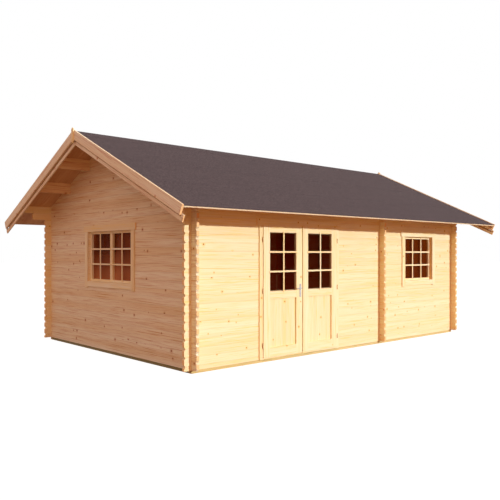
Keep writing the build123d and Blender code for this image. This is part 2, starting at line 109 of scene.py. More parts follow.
# ---------------------------------------------------------------- materials
class Graph:
    """The nodes of the world or of a material while they are put together."""

    def __init__(self, owner: World | Material) -> None:
        """Empties a node tree.

        Args:
            owner: What the nodes are for.
        """
        owner.use_nodes = True
        self.tree = owner.node_tree
        self.tree.nodes.clear()

    def feed(self, socket: NodeSocket, value: Value) -> None:
        """Links a socket to a value's socket, or sets it to a plain value.

        Args:
            socket: The input to feed.
            value: A socket, a number or a colour.
        """
        if isinstance(value, NodeSocket):
            self.tree.links.new(value, socket)
        elif isinstance(value, tuple) and len(socket.default_value) == 4:
            socket.default_value = (*value, 1.0)
        else:
            socket.default_value = value

    def node(self, kind: str, feeds: dict[str | int, Value] | None = None, **settings: str) -> Node:
        """Adds a node.

        Args:
            kind: Its type, without the word ShaderNode.
            feeds: What its inputs take, by name or number.
            settings: Its own settings.

        Returns:
            The node.
        """
        node = self.tree.nodes.new(f"ShaderNode{kind}")
        for name, value in settings.items():
            setattr(node, name, value)
        for key, value in (feeds or {}).items():
            self.feed(node.inputs[key], value)
        return node

    def calc(self, operation: str, first: Value, second: Value = 0.0) -> NodeSocket:
        """A sum on one or two numbers."""
        return self.node("Math", {0: first, 1: second}, operation=operation).outputs[0]

    def times(self, first: Value, second: Value) -> NodeSocket:
        """Two numbers multiplied."""
        return self.calc("MULTIPLY", first, second)

    def plus(self, first: Value, second: Value) -> NodeSocket:
        """Two numbers added."""
        return self.calc("ADD", first, second)

    def rest(self, share: Value) -> NodeSocket:
        """What a share leaves of 1."""
        return self.calc("SUBTRACT", 1.0, share)

    def pick(self, factor: Value, low: Value, high: Value) -> NodeSocket:
        """A number between two others, by a factor from 0 to 1."""
        return self.node("Mix", {"Factor": factor, "A": low, "B": high}).outputs["Result"]

    def stain(self, factor: Value, under: Value, over: Value) -> NodeSocket:
        """A colour laid over another, by a factor from 0 to 1."""
        feeds = {"Factor": factor, MIX_UNDER: under, MIX_OVER: over}
        return self.node("Mix", feeds, data_type="RGBA").outputs[MIX_COLOUR]

    def layers(self, colour: Value, *layers: tuple[Value, float, Value]) -> Value:
        """Lays several colours over one, in turn.

        Args:
            colour: The colour underneath.
            layers: Each colour on top, after its mask and the strength of that.

        Returns:
            The colour that shows.
        """
        for mask, strength, over in layers:
            colour = self.stain(self.times(mask, strength), colour, over)
        return colour

    def band(self, value: Value, low: float, high: float) -> NodeSocket:
        """A smooth step from 0 at one value to 1 at another."""
        feeds = {"Value": value, "From Min": low, "From Max": high}
        return self.node("MapRange", feeds, interpolation_type="SMOOTHSTEP").outputs["Result"]

    def join(self, x: Value, y: Value, z: Value) -> NodeSocket:
        """A vector from three numbers."""
        return self.node("CombineXYZ", {0: x, 1: y, 2: z}).outputs[0]

    def split(self, vector: NodeSocket) -> tuple[NodeSocket, ...]:
        """The three numbers of a vector."""
        return tuple(self.node("SeparateXYZ", {0: vector}).outputs)

    def noise(self, vector: NodeSocket, scale: Point, detail: float = 2.0) -> NodeSocket:
        """Soft noise from 0 to 1, with so many blobs in a metre of each direction."""
        spot = self.node("VectorMath", {0: vector, 1: scale}, operation="MULTIPLY").outputs[0]
        return self.node("TexNoise", {"Vector": spot, "Scale": 1.0, "Detail": detail}).outputs[0]

    def chances(self, x: Value, y: Value, z: Value) -> tuple[NodeSocket, ...]:
        """Three fixed chance numbers from 0 to 1 for the cell of three numbers."""
        return self.split(self.node("TexWhiteNoise", {"Vector": self.join(x, y, z)}).outputs["Color"])

    def reading(self, output: str) -> NodeSocket:
        """A texture coordinate, such as Object for a place or Normal for a direction."""
        return self.node("TexCoord").outputs[output]


class Surface(Graph):
    """The nodes of one material round a Principled shader."""

    def __init__(self, name: str) -> None:
        """Starts a material.

        Args:
            name: The material's name.
        """
        self.material = bpy.data.materials.new(name)
        super().__init__(self.material)
        self.shader = self.node("BsdfPrincipled")
        self.output = self.node("OutputMaterial", {"Surface": self.shader.outputs["BSDF"]})

    def lift(self, height: NodeSocket, strength: float, distance: float) -> None:
        """Raises the surface by a height from 0 to 1, as bump of so many metres."""
        bump = self.node("Bump", {"Height": height, "Strength": strength, "Distance": distance})
        self.feed(self.shader.inputs["Normal"], bump.outputs["Normal"])

    def done(self, colour: Value, roughness: Value, **more: float) -> Material:
        """Feeds the shader.

        Args:
            colour: The surface's colour.
            roughness: The surface's roughness.
            more: Other inputs, with _ for every space in their names.

        Returns:
            The finished material.
        """
        for name, value in {"Base_Color": colour, "Roughness": roughness, **more}.items():
            self.feed(self.shader.inputs[name.replace("_", " ")], value)
        return self.material


@dataclass(frozen=True)
class Timber:
    """A planed softwood, with growth streaks, fibres, knots and end grain."""

    name: str
    grain: Grain
    board: float = 4.0  # width of one board across the grain
    joint: float = 0.0  # where a joint between two boards lies, across the grain
    joint_dirt: float = 0.0
    rails: tuple[Span, ...] = ()  # spans of an upright frame where its members lie flat
    pale: Colour = rgb(253, 238, 188)
    warm: Colour = rgb(251, 225, 166)
    streak: Colour = rgb(243, 212, 112)
    knot: Colour = rgb(194, 122, 40)
    end: Colour = rgb(254, 208, 140)
    streaks: float = 0.4
    dashes: float = 0.8  # strength of the thin amber streaks
    knots: float = 0.4  # share of the knot cells that hold one
    knot_cell: float = 0.27
    knot_size: float = 0.005  # radius of the smallest knot
    roughness: float = 0.6

    def axes(self, graph: Graph, output: str) -> list[NodeSocket]:
        """The readings along, across and through a board.

        Args:
            graph: The material under way.
            output: What is read: Object for places, or Normal for directions.

        Returns:
            The three sockets.
        """
        x, y, z = graph.split(graph.reading(output))
        out = graph.calc("ABSOLUTE", y)
        cosine, sine = math.cos(ROOF_PITCH), math.sin(ROOF_PITCH)
        down = graph.calc("SUBTRACT", graph.times(out, cosine), graph.times(z, sine))
        square = graph.plus(graph.times(out, sine), graph.times(z, cosine))
        named = {"X": x, "Y": y, "Z": z, "S": down, "T": square}
        return [named[letter] for letter in self.grain.value]

    def rail_mask(self, graph: Graph, across: NodeSocket) -> Value:
        """1 inside the spans where an upright frame's members lie flat, and 0 elsewhere.

        Args:
            graph: The material under way.
            across: The place across the frame.

        Returns:
            The mask.
        """
        mask: Value = 0.0
        for low, high in self.rails:
            over, under = graph.calc("GREATER_THAN", across, low), graph.calc("LESS_THAN", across, high)
            mask = graph.calc("MAXIMUM", mask, graph.times(over, under))
        return mask

    def knot_masks(self, graph: Graph, spot: NodeSocket) -> tuple[NodeSocket, ...]:
        """The cores of the knots and the grain that swells round them.

        Args:
            graph: The material under way.
            spot: Where the grain is read.

        Returns:
            The two masks.
        """
        feeds = {"Vector": spot, "Scale": 1 / self.knot_cell}
        cells = graph.node("TexVoronoi", feeds, voronoi_dimensions="2D")
        size, chosen, _ = graph.split(cells.outputs["Color"])
        radius = graph.plus(self.knot_size, graph.times(size, 0.009))
        reach = graph.calc("DIVIDE", graph.times(cells.outputs["Distance"], self.knot_cell), radius)
        holds = graph.calc("LESS_THAN", chosen, self.knots)
        spans = ((0.6, 1.15), (0.9, 3.6))
        return tuple(graph.times(holds, graph.rest(graph.band(reach, *span))) for span in spans)

    def build(self) -> Material:
        """Makes the timber's material.

        Returns:
            The finished material.
        """
        graph = Surface(self.name)
        along, across, through = self.axes(graph, "Object")
        facing, sideways, _ = self.axes(graph, "Normal")
        if self.rails:
            rail = self.rail_mask(graph, across)
            along, across = graph.pick(rail, along, across), graph.pick(rail, across, along)
            facing = graph.pick(rail, facing, sideways)

        # Each log, and each board of a piece, reads its own stretch of grain.
        count = graph.calc("DIVIDE", graph.calc("SUBTRACT", across, self.joint), self.board)
        side = graph.calc("FLOOR", graph.calc("DIVIDE", through, ROOM_DEPTH))
        first, second, third = graph.chances(graph.calc("FLOOR", count), side, float(len(self.name)))
        own = graph.node("Attribute", attribute_name=PIECE_SHIFT).outputs["Fac"]
        spot = graph.join(graph.plus(along, graph.plus(graph.times(first, SCATTER[0]), own)),
                          graph.plus(across, graph.times(second, SCATTER[1])),
                          graph.plus(through, graph.times(third, SCATTER[2])))

        core, halo = self.knot_masks(graph, spot)
        slow = graph.noise(spot, (0.35, 11.0, 11.0), 2.5)
        drift = graph.noise(spot, (0.25, 5.0, 5.0), 1.0)
        fibres = graph.noise(spot, (5.0, 320.0, 320.0), 2.0)
        dashes = graph.band(graph.noise(spot, (1.8, 130.0, 130.0), 2.0), 0.53, 0.68)
        bent = graph.plus(slow, graph.times(halo, 0.06))
        rings = graph.plus(graph.times(graph.calc("SINE", graph.times(bent, 62.0)), 0.5), 0.5)
        curves = graph.calc("SINE", graph.times(graph.noise(spot, (9.0, 9.0, 9.0), 1.0), 130.0))
        ends = graph.layers(self.end, (graph.band(curves, -0.2, 0.9), 0.35, self.streak))
        colour = graph.layers(self.pale,
                              (graph.band(drift, 0.35, 0.7), 1.0, self.warm),
                              (third, 0.30, self.warm),
                              (graph.times(rings, graph.band(slow, 0.42, 0.72)), self.streaks, self.streak),
                              (dashes, self.dashes, self.streak),
                              (graph.band(fibres, 0.45, 0.8), 0.3, self.streak),
                              (halo, 0.55, self.streak),
                              (core, 1.0, self.knot),
                              (graph.band(graph.calc("ABSOLUTE", facing), 0.8, 0.95), 1.0, ends))
        if self.joint_dirt:
            within = graph.calc("FRACT", count)
            edge = graph.times(graph.calc("MINIMUM", within, graph.rest(within)), self.board)
            dirt = graph.rest(graph.band(edge, 0.0005, 0.005))
            colour = graph.layers(colour, (dirt, self.joint_dirt, self.knot))
        graph.lift(graph.plus(fibres, graph.times(rings, 0.4)), 0.25, 0.0008)
        roughness = graph.plus(self.roughness, graph.times(fibres, 0.15))
        return graph.done(colour, roughness, Specular_IOR_Level=0.3)


# Painted shade tone: a more neutral copy of the timber colours for the left gable's logs, the gable window's
# members and the bargeboards, set for how they render in shade.
PAINTED_GABLE_SHADE_TONE = {"pale": rgb(251, 245, 205), "warm": rgb(240, 220, 168)}


@dataclass(frozen=True)
class Felt:
    """Mineral-faced roofing felt, laid in strips along the roof."""

    name: str = "mineral_felt"
    grey: Colour = rgb(84, 75, 73)
    dark: Colour = rgb(60, 53, 52)
    chip: Colour = rgb(140, 122, 117)

    def build(self) -> Material:
        """Makes the felt's material.

        Returns:
            The finished material.
        """
        graph = Surface(self.name)
        spot = graph.reading("Object")
        grit = graph.noise(spot, (420.0, 420.0, 420.0), 2.0)
        chips = graph.noise(spot, (170.0, 170.0, 170.0), 3.0)
        mottle = graph.noise(spot, (34.0, 52.0, 52.0), 3.0)
        wash = graph.noise(spot, (1.1, 14.0, 14.0), 4.0)
        colour = graph.layers(self.grey,
                              (graph.band(wash, 0.35, 0.75), 0.25, self.dark),
                              (graph.band(mottle, 0.44, 0.58), 0.75, self.dark),
                              (graph.band(chips, 0.52, 0.7), 0.55, self.chip),
                              (graph.band(grit, 0.5, 0.75), 0.55, self.dark))
        graph.lift(grit, 0.6, 0.0015)
        return graph.done(colour, graph.plus(0.85, graph.times(chips, 0.12)), Specular_IOR_Level=0.15)


@dataclass(frozen=True)
class Pane:
    """Clear window glass, coloured with painted shade for the room's dim wood behind it and painted light at
    the foot of each pane.
    """

    name: str = "window_glass_finish"
    # tint is painted shade of the dim room behind the glass; the foot colour below is painted light at the foot
    # of each pane
    tint: Colour = rgb(68, 6, 0)
    painted_lit_foot: Colour = rgb(80, 15, 2)
    clearness: float = 0.7
    # painted reflection of the brighter surroundings at the foot of the gable's panes
    painted_gable_reflection: Colour | None = None  # the glass at the foot of the panes in the shaded gable

    def build(self) -> Material:
        """Makes the glass's material.

        Returns:
            The finished material.
        """
        graph = Surface(self.name)
        spot = graph.reading("Object")
        x, _, z = graph.split(spot)
        wave = graph.noise(spot, (2.2, 2.2, 1.4), 1.0)
        graph.lift(wave, 0.05, 0.002)
        height = graph.times(graph.band(z, 1.15, 1.9), 0.65)
        spread = graph.times(graph.band(wave, 0.3, 0.7), 0.35)
        # Painted light: the foot of each pane takes the lit colour, and in the left gable it takes the painted
        # reflection colour.
        foot = self.painted_lit_foot
        if self.painted_gable_reflection:
            foot = graph.stain(graph.band(graph.times(x, -1.0), 1.0, 3.0), self.painted_lit_foot, self.painted_gable_reflection)
        colour = graph.stain(graph.plus(height, spread), foot, self.tint)
        return graph.done(colour, graph.plus(0.03, graph.times(wave, 0.03)), Alpha=1 - self.clearness,
                          Specular_IOR_Level=0.03, IOR=1.2)


@dataclass(frozen=True)
class Steel:
    """Satin steel with a fine brushed grain."""

    name: str
    bright: Colour = rgb(205, 204, 200)
    dull: Colour = rgb(160, 158, 152)
    roughness: float = 0.3
    metal: float = 1.0

    def build(self) -> Material:
        """Makes the steel's material.

        Returns:
            The finished material.
        """
        graph = Surface(self.name)
        spot = graph.reading("Object")
        brush = graph.noise(spot, (900.0, 900.0, 40.0), 2.0)
        smear = graph.noise(spot, (30.0, 30.0, 30.0), 2.0)
        graph.lift(brush, 0.1, 0.0003)
        colour = graph.stain(graph.band(brush, 0.3, 0.7), self.bright, self.dull)
        return graph.done(colour, graph.plus(self.roughness, graph.times(smear, 0.15)), Metallic=self.metal)


@cache
def made(finish: Timber | Felt | Pane | Steel) -> Material:
    """The material of a finish, built once."""
    return finish.build()


# ---------------------------------------------------------------- pieces
def dress(material: Material, *names: str) -> None:
    """Gives CAD nodes a material.

    Args:
        material: The finish to give.
        names: The nodes' names.
    """
    for name in names:
        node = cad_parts[name]
        if not node.material_slots:
            node.data.materials.append(material)
        for place in node.material_slots:
            place.material = material


def solid_boxes(name: str) -> list[tuple[Vector, Vector]]:
    """The box of each separate solid in a CAD node.

    Args:
        name: The node's name.

    Returns:
        The lowest and highest corner of each solid, by x and then y.
    """
    mesh = bmesh.new()
    mesh.from_mesh(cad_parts[name].data)
    bmesh.ops.remove_doubles(mesh, verts=mesh.verts, dist=1e-5)
    left, boxes = set(mesh.verts), []
    while left:
        solid, rim = set(), {left.pop()}
        while rim:
            solid |= rim
            rim = {edge.other_vert(vert) for vert in rim for edge in vert.link_edges} - solid
        left -= solid
        places = [vert.co for vert in solid]
        boxes.append((Vector(map(min, *places)), Vector(map(max, *places))))
    mesh.free()
    return sorted(boxes, key=lambda box: (box[0].x, box[0].y))


def put(name: str, data: ID) -> Object:
    """Stands an object in the scene.

    Args:
        name: The object's name.
        data: Its mesh, lamp or camera.

    Returns:
        The object.
    """
    thing = bpy.data.objects.new(name, data)
    bpy.context.scene.collection.objects.link(thing)
    return thing


def gable_side(low: Vector, high: Vector) -> int:
    """1 where a flat box lies in a gable, and 0 where it lies in a long wall."""
    return int(high.x - low.x < high.y - low.y)


def shares(start: float, stop: float, size: float) -> list[Span]:
    """Splits a stretch into equal shares of about one size.

    Args:
        start: Where the stretch starts.
        stop: Where it ends.
        size: The size to come near to.

    Returns:
        Where each share starts and ends.
    """
    count = max(1, round((stop - start) / size))
    pitch = (stop - start) / count
    return [(start + place * pitch, start + (place + 1) * pitch) for place in range(count)]


class Workpiece:
    """One new piece, gathered as boards and turned parts in a single mesh."""

    def __init__(self, name: str) -> None:
        """Starts an empty piece.

        Args:
            name: The piece's name.
        """
        self.name = name
        self.mesh = bmesh.new()
        self.shift = self.mesh.faces.layers.float.new(PIECE_SHIFT)
        self.materials: list[Material] = []
        self.made = 0

    def mark(self, faces: list[bmesh.types.BMFace], material: Material) -> None:
        """Gives new faces their material and their own stretch of grain.

        Args:
            faces: The faces of one board or part.
            material: Their finish.
        """
        if material not in self.materials:
            self.materials.append(material)
        self.made += 1
        for face in faces:
            face.material_index = self.materials.index(material)
            face[self.shift] = SHIFT_STEP * self.made

    def board(self, low: Vector | Point, high: Vector | Point, material: Material, bevel: float = EASE,
              turn: Matrix = Matrix.Identity(4)) -> None:
        """Adds a board with eased edges.

        Args:
            low: Its lowest corner.
            high: Its highest corner.
            material: Its finish.
            bevel: How far its edges are eased.
            turn: What turns and moves it after that.
        """
        low, high = Vector(low), Vector(high)
        fit = Matrix.Translation((low + high) / 2) @ Matrix.Diagonal((*(high - low), 1))
        corners = bmesh.ops.create_cube(self.mesh, size=1.0, matrix=turn @ fit)["verts"]
        self.mark(list({face for corner in corners for face in corner.link_faces}), material)
        if bevel:
            edges = list({edge for corner in corners for edge in corner.link_edges})
            bmesh.ops.bevel(self.mesh, geom=edges, offset=bevel, offset_type="OFFSET", segments=2,
                            profile=0.5, affect="EDGES", material=-1)

    def slat(self, across: int, width: Span, depth: Span, height: Span, material: Material,
             bevel: float = EASE) -> None:
        """Adds a board by its place along, through and up a wall.

        Args:
            across: The direction along the wall: 0 for a long wall and 1 for a gable.
            width: Where the board starts and stops along the wall.
            depth: Its outer and its inner face.
            height: Its foot and its top.
            material: Its finish.
            bevel: How far its edges are eased.
        """
        low, high = Vector((0.0, 0.0, height[0])), Vector((0.0, 0.0, height[1]))
        low[across], high[across] = width
        low[1 - across], high[1 - across] = depth
        self.board(low, high, material, bevel)

    def surround(self, across: int, low: Vector, high: Vector, member: float,
                 finishes: tuple[Material, Material], tuck: Span = (0.0, 0.0), bevel: float = EASE) -> None:
        """Adds two uprights and two level members just inside a flat box.

        Args:
            across: The direction along the wall: 0 for a long wall and 1 for a gable.
            low: The box's lowest corner.
            high: The box's highest corner.
            member: How wide the members are.
            finishes: The finish of the uprights and of the level members.
            tuck: How far the level members stop short at both ends and on their inner face.
            bevel: How far their edges are eased.
        """
        left, right, outer, inner = low[across], high[across], low[1 - across], high[1 - across]
        for edge in (left, right - member):
            self.slat(across, (edge, edge + member), (outer, inner), (low.z, high.z), finishes[0], bevel)
        for foot in (low.z, high.z - member):
            self.slat(across, (left + tuck[0], right - tuck[0]), (outer, inner - tuck[1]),
                      (foot, foot + member), finishes[1], bevel)

    def rod(self, centre: Vector, way: Vector, radius: float, length: float, material: Material,
            bevel: float = 0.0, segments: int = 24) -> None:
        """Adds a round rod with eased ends.

        Args:
            centre: Its middle.
            way: The direction along it.
            radius: Its radius.
            length: Its length.
            material: Its finish.
            bevel: How far its ends are eased.
            segments: How many sides its round has.
        """
        turn = way.to_track_quat("Z", "Y").to_matrix().to_4x4()
        ring = bmesh.ops.create_cone(self.mesh, cap_ends=True, cap_tris=False, segments=segments,
                                     radius1=radius, radius2=radius, depth=length,
                                     matrix=Matrix.Translation(centre) @ turn)
        faces = list({face for corner in ring["verts"] for face in corner.link_faces})
        self.mark(faces, material)
        if bevel:
            rims = list({edge for face in faces if len(face.verts) > 4 for edge in face.edges})
            bmesh.ops.bevel(self.mesh, geom=rims, offset=bevel, offset_type="OFFSET", segments=3,
                            profile=0.5, affect="EDGES", material=-1)

    def finish(self, body: Body, stock: Stock, stands_for: tuple[str, ...] = ()) -> None:
        """Turns the piece into an object that rides on a body.

        Args:
            body: The body that it rides on.
            stock: The slot that its finish belongs to; not used.
            stands_for: The CAD nodes that it replaces.
        """
        bmesh.ops.recalc_face_normals(self.mesh, faces=self.mesh.faces)
        data = bpy.data.meshes.new(self.name)
        self.mesh.to_mesh(data)
        self.mesh.free()
        for material in self.materials:
            data.materials.append(material)
        piece = put(self.name, data)
        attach(piece, body.value)
        if stands_for:
            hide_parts(*stands_for)
        log.info("%s: %d faces on %s", self.name, len(data.polygons), body.value)


# ---------------------------------------------------------------- the cabin
@dataclass
class LogWalls:
    """The walls of interlocking logs, with the beams that carry them."""

    course: float = 0.121
    long_joint: float = 0.1055
    cross_joint: float = 0.045
    dirt: float = 0.2

    def build(self) -> None:
        """Dresses every wall and the pressure-treated beams and joists."""
        lower = {"board": self.course, "joint": self.cross_joint, "joint_dirt": self.dirt}
        dress(made(Timber("wall_logs", Grain.ALONG_WALL, self.course, self.long_joint, self.dirt, knots=0.5)),
              "back_wall", "front_wall_left", "front_wall_middle", "front_wall_over_door",
              "front_wall_over_window", "front_wall_right", "front_wall_under_window", "back_wall_plate",
              "front_wall_plate", "back_step_log", "front_step_log")
        # The left gable's logs take the painted gable shade tone.
        dress(made(Timber("gable_logs", Grain.ALONG_GABLE, knots=0.4, streaks=0.3, dashes=0.75,
                          streak=rgb(206, 153, 84), knot=rgb(140, 66, 28), knot_size=0.0065, **lower,
                          **PAINTED_GABLE_SHADE_TONE)),
              "left_gable_sides", "left_gable_top", "left_gable_under_window")
        dress(made(Timber("cross_logs", Grain.ALONG_GABLE, knots=0.5, streak=rgb(246, 190, 114),
                          knot=rgb(190, 106, 48), **lower)),
              "partition_sides", "partition_top", "right_gable")
        shades = {"pale": rgb(232, 208, 138), "warm": rgb(218, 190, 112), "streak": rgb(170, 146, 80),
                  "end": rgb(196, 166, 96), "knot": rgb(96, 76, 36)}
        dress(made(Timber("treated_beam", Grain.ALONG_WALL, **shades)), "ground_beams_long")
        dress(made(Timber("treated_joist", Grain.ALONG_GABLE, **shades)), "floor_joists")
        # Painted shade: the cross beams along the gables take a darker copy of the treated timber's colours.
        shades |= {"pale": rgb(124, 112, 62), "warm": rgb(110, 98, 52)}
        dress(made(Timber("treated_cross_beam", Grain.ALONG_GABLE, **shades)), "ground_beams_cross")
        log.info("walls and beams dressed")


@dataclass
class Floor:
    """The floor of planed boards, seen through the doors."""

    width: float = 0.09
    gap: float = 0.0012
    edge_gap: float = 0.005  # at the partition
    bevel: float = 0.0015

    def build(self) -> None:
        """Lays the boards of both rooms over the CAD floor's own outline."""
        low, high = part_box("floor_boards")
        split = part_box("partition_sides")
        piece = Workpiece("floor_planks")
        finish = made(Timber("floor_plank", Grain.FLOOR, knots=0.6))
        for start, stop in ((low.x, split[0].x - self.edge_gap), (split[1].x + self.edge_gap, high.x)):
            for near, far in shares(start, stop, self.width):
                piece.board((near, low.y, low.z), (far - self.gap, high.y, high.z), finish, self.bevel)
        piece.finish(Body.CABIN, Stock.TIMBER, ("floor_boards",))


@dataclass
class Roof:
    """Boards, felt, bargeboards and finials."""

    width: float = 0.096
    board_thickness: float = 0.019
    felt_thickness: float = 0.0032
    strip: float = 0.92
    lap: float = 0.09
    lap_rise: float = 0.0014
    ridge_strip: float = 0.24
    ridge_thickness: float = 0.002
    past_ridge: float = 0.02  # left on the boards until they are cut plumb
    inner_past_ridge: float = 0.09
    inner_thickness: float = 0.020
    inner_drop: float = 0.176
    inner_step: float = 0.086
    inner_reach: float = 0.050
    inner_setback: float = 0.060
    shadow_gap: float = 0.024  # left open under the bargeboard
    bargeboard_drop: float = 0.100  # of the bargeboard's foot under the roof boards
    gap_back: float = 0.004  # thickness left behind the gap
    end_block: float = 0.004  # how far the gap stops short of the bargeboard's end
    block_lap: float = 0.002
    board_bevel: float = 0.0025
    felt_bevel: float = 0.0006
    ridge_bevel: float = 0.0004
    verge_bevel: float = 0.0015
    block_bevel: float = 0.001
    slope: float = field(init=False, default=math.tan(ROOF_PITCH))

    def __post_init__(self) -> None:
        """Reads the roof's reach from the frame."""
        low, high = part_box("roof_boards_front")
        self.low_x, self.high_x = low.x, high.x
        self.ridge_under = high.z - self.board_thickness / math.cos(ROOF_PITCH)
        eave_under = low.z
        self.length = (self.ridge_under - eave_under) / math.sin(ROOF_PITCH)

    def on_slope(self, side: int) -> Matrix:
        """What turns (x, down the slope, over the boards' underside) into the frame, for side -1 or 1."""
        tilt = Matrix.Rotation(-side * ROOF_PITCH, 4, "X")
        return Matrix.Translation((0, 0, self.ridge_under)) @ tilt @ Matrix.Diagonal((1, side, 1, 1))

    def trim_ridge(self, piece: Workpiece, side: int) -> None:
        """Cuts a slope's boards plumb at the ridge.

        Args:
            piece: The slope's boards.
            side: -1 for the front slope and 1 for the back slope.
        """
        mesh = piece.mesh
        whole = [*mesh.verts, *mesh.edges, *mesh.faces]
        bmesh.ops.bisect_plane(mesh, geom=whole, plane_co=(0, 0, 0), plane_no=(0, -side, 0), clear_outer=True)
        rims = [edge for edge in mesh.edges if edge.is_boundary]
        bmesh.ops.holes_fill(mesh, edges=rims)

    def boards(self) -> None:
        """Lays the roof boards of both slopes."""
        # Painted shade: the roof boards' faces are coloured darker than the wall timber for the shade under the
        # eaves; their end grain stays pale.
        finish = made(Timber("roof_board", Grain.ROOF_BOARD, pale=rgb(220, 180, 126), warm=rgb(204, 160, 106),
                             streak=rgb(176, 108, 56), end=rgb(255, 236, 186), joint_dirt=0.5))
        for side, name in ((-1, "front"), (1, "back")):
            piece = Workpiece(f"roof_planks_{name}")
            for near, far in shares(self.low_x, self.high_x, self.width):
                piece.board((near, -self.past_ridge, 0), (far, self.length, self.board_thickness), finish,
                            self.board_bevel, self.on_slope(side))
            self.trim_ridge(piece, side)
            piece.finish(Body.CABIN, Stock.TIMBER, (f"roof_boards_{name}",))

    def felt(self) -> None:
        """Lays the felt in lapped strips, with a strip folded over the ridge."""
        finish = made(Felt())
        piece = Workpiece("felt_strips")
        for side in (-1, 1):
            stop = self.length
            while stop > 0:
                start = max(stop - self.strip - self.lap, 0.0)
                tip = math.atan(self.lap_rise / self.strip)
                lean = Matrix.Translation((0, start, self.board_thickness)) @ Matrix.Rotation(tip, 4, "X")
                piece.board((self.low_x, 0, 0), (self.high_x, stop - start, self.felt_thickness), finish,
                            self.felt_bevel, self.on_slope(side) @ lean)
                stop -= self.strip
            over = self.board_thickness + self.felt_thickness
            top = over + self.ridge_thickness
            piece.board((self.low_x, -top * self.slope, over), (self.high_x, self.ridge_strip, top), finish,
                        self.ridge_bevel, self.on_slope(side))
        piece.finish(Body.CABIN, Stock.FELT, ("roof_felt",))

    def inner_verges(self, finish: Material) -> None:
        """Makes the boards inside the bargeboards, with a dark gap under each bargeboard.

        Args:
            finish: The boards' finish.
        """
        gap_foot = -self.bargeboard_drop - self.shadow_gap
        # Painted shade: the backing behind the gap under each bargeboard is coloured dark for the gap's shadow.
        shade = made(Timber("verge_backing", Grain.ROOF_EDGE, pale=rgb(150, 98, 58), warm=rgb(138, 88, 50)))
        low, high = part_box("inner_bargeboards_front")
        past_eave, short = self.length + self.inner_reach, self.length - self.inner_setback
        for side, name in ((-1, "front"), (1, "back")):
            piece = Workpiece(f"verge_boards_{name}")
            slope = self.on_slope(side)
            for outer, inwards in ((low.x, 1), (high.x, -1)):
                inner = outer + inwards * self.inner_thickness
                backing = inner - inwards * self.gap_back
                spans = ((outer, -self.inner_drop, gap_foot, past_eave, finish),
                         (outer, -self.bargeboard_drop, 0.0, short, finish),
                         (backing, gap_foot, -self.bargeboard_drop, past_eave, shade))
                for face, foot, top, reach, look in spans:
                    start, stop = sorted((face, inner))
                    piece.board((start, -self.inner_past_ridge, foot), (stop, reach, top), look,
                                self.verge_bevel, slope)
                start, stop = sorted((outer, inner))
                piece.board((start, self.length - self.end_block, gap_foot - self.block_lap),
                            (stop, past_eave, -self.inner_step), finish, self.block_bevel, slope)
            self.trim_ridge(piece, side)
            piece.finish(Body.CABIN, Stock.TIMBER, (f"inner_bargeboards_{name}",))

    def build(self) -> None:
        """Builds the whole roof."""
        self.boards()
        self.felt()
        # The bargeboards take the painted gable shade tone.
        edge = made(Timber("bargeboard", Grain.ROOF_EDGE, streaks=0.3, dashes=0.6, streak=rgb(200, 134, 84),
                           **PAINTED_GABLE_SHADE_TONE))
        dress(edge, "bargeboards_front", "bargeboards_back")
        self.inner_verges(edge)
        dress(made(Timber("finial", Grain.UPRIGHT_GABLE)), "finials")
        dress(made(Timber("purlin", Grain.ALONG_WALL, pale=rgb(252, 226, 170), warm=rgb(246, 212, 152),
                          streak=rgb(206, 140, 84))), "purlins")


@dataclass
class Grille:
    """A cross-barred grille laid over the outer face of a light's frame."""

    columns: int
    rows: int
    recess: float  # from the frame's outer face in to the glass
    bar: float = 0.027
    depth: float = 0.010
    lap: float = 0.022  # how far a bar runs onto the frame
    halving: float = 0.0012
    bevel: float = 0.0025

    def lay(self, piece: Workpiece, across: int, low: Vector, high: Vector, upright: Material,
            flat: Material) -> None:
        """Adds the bars over a light.

        Args:
            piece: The piece that takes the bars.
            across: The direction along the wall: 0 for a long wall and 1 for a gable.
            low: The pane's lowest corner.
            high: The pane's highest corner.
            upright: The finish of upright bars.
            flat: The finish of level bars.
        """
        face, half = low[1 - across] - self.recess, self.bar / 2
        for column in range(1, self.columns):
            middle = low[across] + (high[across] - low[across]) * column / self.columns
            piece.slat(across, (middle - half, middle + half), (face - self.depth, face),
                       (low.z - self.lap, high.z + self.lap), upright, self.bevel)
        for row in range(1, self.rows):
            middle = low.z + (high.z - low.z) * row / self.rows
            piece.slat(across, (low[across] - self.lap, high[across] + self.lap),
                       (face - self.depth + self.halving, face), (middle - half, middle + half), flat,
                       self.bevel)


